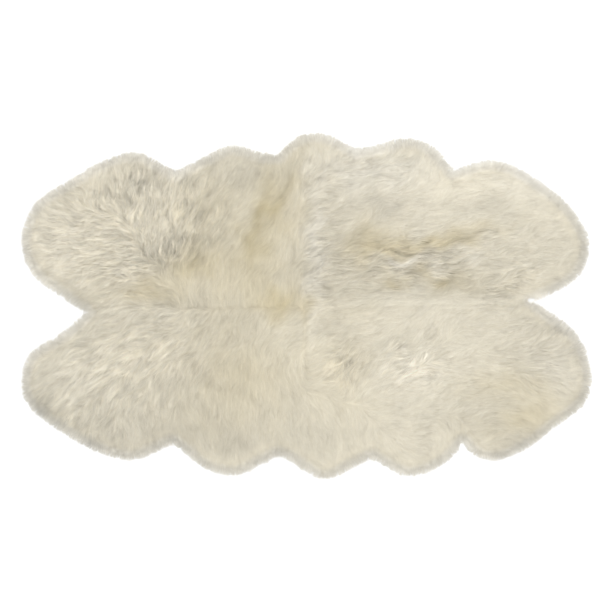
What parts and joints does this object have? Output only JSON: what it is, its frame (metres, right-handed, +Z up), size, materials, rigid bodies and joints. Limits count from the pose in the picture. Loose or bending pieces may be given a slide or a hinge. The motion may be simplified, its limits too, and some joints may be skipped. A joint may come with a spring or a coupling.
{
  "type": "sheepskin rug",
  "caption": "Flat rug of sheepskin pelts sewn edge to edge, thick cream wool above, scalloped outline with a leg lobe at each corner.",
  "frame": {"origin": "on the floor, under the middle of the rug's bounding box", "axes": "+X along the rug's length, +Y across it towards the top of the picture, +Z up out of the wool"},
  "size_m": [1.7975, 1.0878, 0.0555],
  "materials": {
    "wool": "soft long wool, cream white with ivory tips and sandy roots",
    "hide": "matt tanned skin side, sueded",
    "thread": "waxed sewing thread"
  },
  "bodies": {
    "root": {"pelt_upper_left": "wool", "pelt_upper_right": "wool", "pelt_lower_right": "wool", "pelt_lower_left": "wool"}
  },
  "joints": []
}
